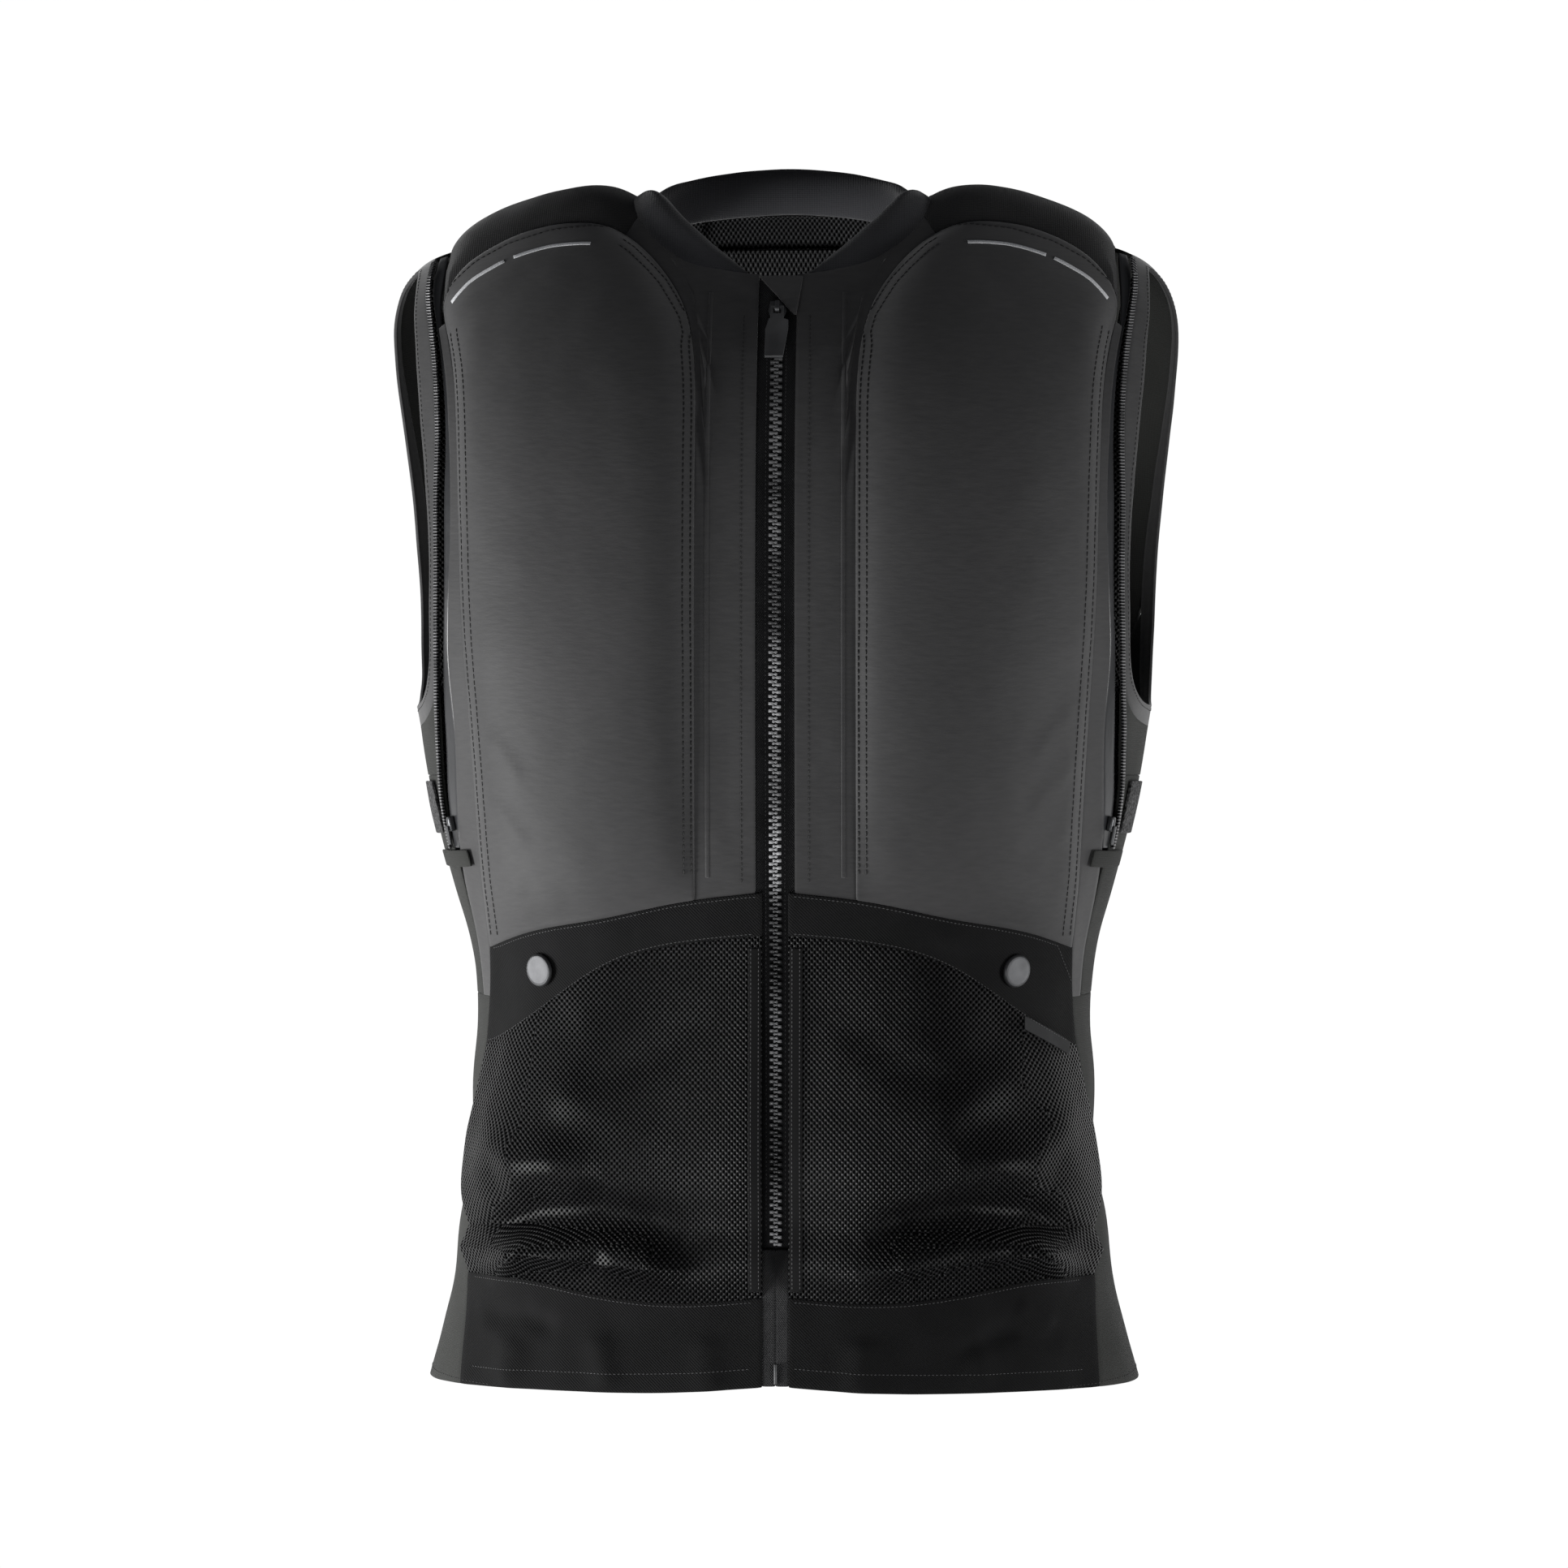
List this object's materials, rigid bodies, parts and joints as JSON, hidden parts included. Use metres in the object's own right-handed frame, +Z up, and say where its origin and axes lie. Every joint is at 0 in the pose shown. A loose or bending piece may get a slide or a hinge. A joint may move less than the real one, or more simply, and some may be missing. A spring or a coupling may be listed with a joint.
{
  "type": "motorcycle airbag vest",
  "caption": "Sleeveless airbag vest in its worn shape, with padded chest, shoulder and back chambers, a centre zip, mesh pockets and open side zips.",
  "frame": {"origin": "on the middle plane, in the middle of the neck opening, at the height where the vest rests on the wearer's shoulders", "axes": "+Z up, the front faces -Y, the wearer's left is +X"},
  "size_m": [0.4142, 0.275, 0.6443],
  "materials": {
    "softshell": "matt charcoal softshell with a fine brushed face",
    "fine_knit": "matt black stretch cloth with a fine grain",
    "jersey": "soft navy-black jersey",
    "twill": "heavy black twill",
    "spacer_mesh": "black spacer mesh with a slight gloss",
    "stretch": "dark grey stretch cloth",
    "coated_film": "black coated cloth with a smooth shine",
    "zip_cloth": "woven black zip tape",
    "loop_pile": "fuzzy dark loop pile",
    "reflective": "light grey reflective cloth",
    "moulded_plastic": "moulded dark grey plastic",
    "slider_paint": "satin grey paint on die-cast metal",
    "cap_paint": "satin gunmetal"
  },
  "bodies": {
    "vest": {"armhole_binding_left": "softshell", "armhole_binding_right": "softshell", "back_chamber": "softshell", "back_lining": "spacer_mesh", "back_side_panel_left": "stretch", "back_side_panel_right": "stretch", "back_skirt": "stretch", "back_yoke": "fine_knit", "chest_chamber_left": "softshell", "chest_chamber_right": "softshell", "collar_roll": "jersey", "hem_band_left": "twill", "hem_band_right": "twill", "inner_stripe_left": "reflective", "inner_stripe_right": "reflective", "loop_patch_left": "loop_pile", "loop_patch_right": "loop_pile", "mesh_pocket_left": "spacer_mesh", "mesh_pocket_right": "spacer_mesh", "outer_stripe_left": "reflective", "outer_stripe_right": "reflective", "placket_left": "softshell", "placket_right": "softshell", "pocket_band_left": "twill", "pocket_band_right": "twill", "pocket_tab_left": "reflective", "shoulder_chamber_left": "fine_knit", "shoulder_chamber_right": "fine_knit", "side_coil_left": "zip_cloth", "side_coil_right": "zip_cloth", "side_panel_left": "stretch", "side_panel_right": "stretch", "side_skirt_left": "stretch", "side_skirt_right": "stretch", "side_strip_left": "softshell", "side_strip_right": "softshell", "side_tab_left": "stretch", "side_tab_right": "stretch", "snap_cap_left": "cap_paint", "snap_cap_right": "cap_paint", "underarm_panel_left": "stretch", "underarm_panel_right": "stretch", "zip_chain_left": "moulded_plastic", "zip_chain_right": "moulded_plastic", "zip_film_left": "coated_film", "zip_film_right": "coated_film", "zip_garage": "softshell", "zip_gusset_left": "spacer_mesh", "zip_gusset_right": "spacer_mesh", "zip_slider": "slider_paint", "zip_stop_cover_left": "zip_cloth", "zip_stop_cover_right": "zip_cloth", "zip_tape_left": "zip_cloth", "zip_tape_right": "zip_cloth"},
    "pull": {"zip_pull": "moulded_plastic"}
  },
  "joints": [
    {"name": "pull_swing", "type": "hinge", "parent": "vest", "child": "pull", "pos_m": [0, -0.09612, -0.0503], "axis": [-1, 0, 0], "range_deg": [0, 150]}
  ]
}
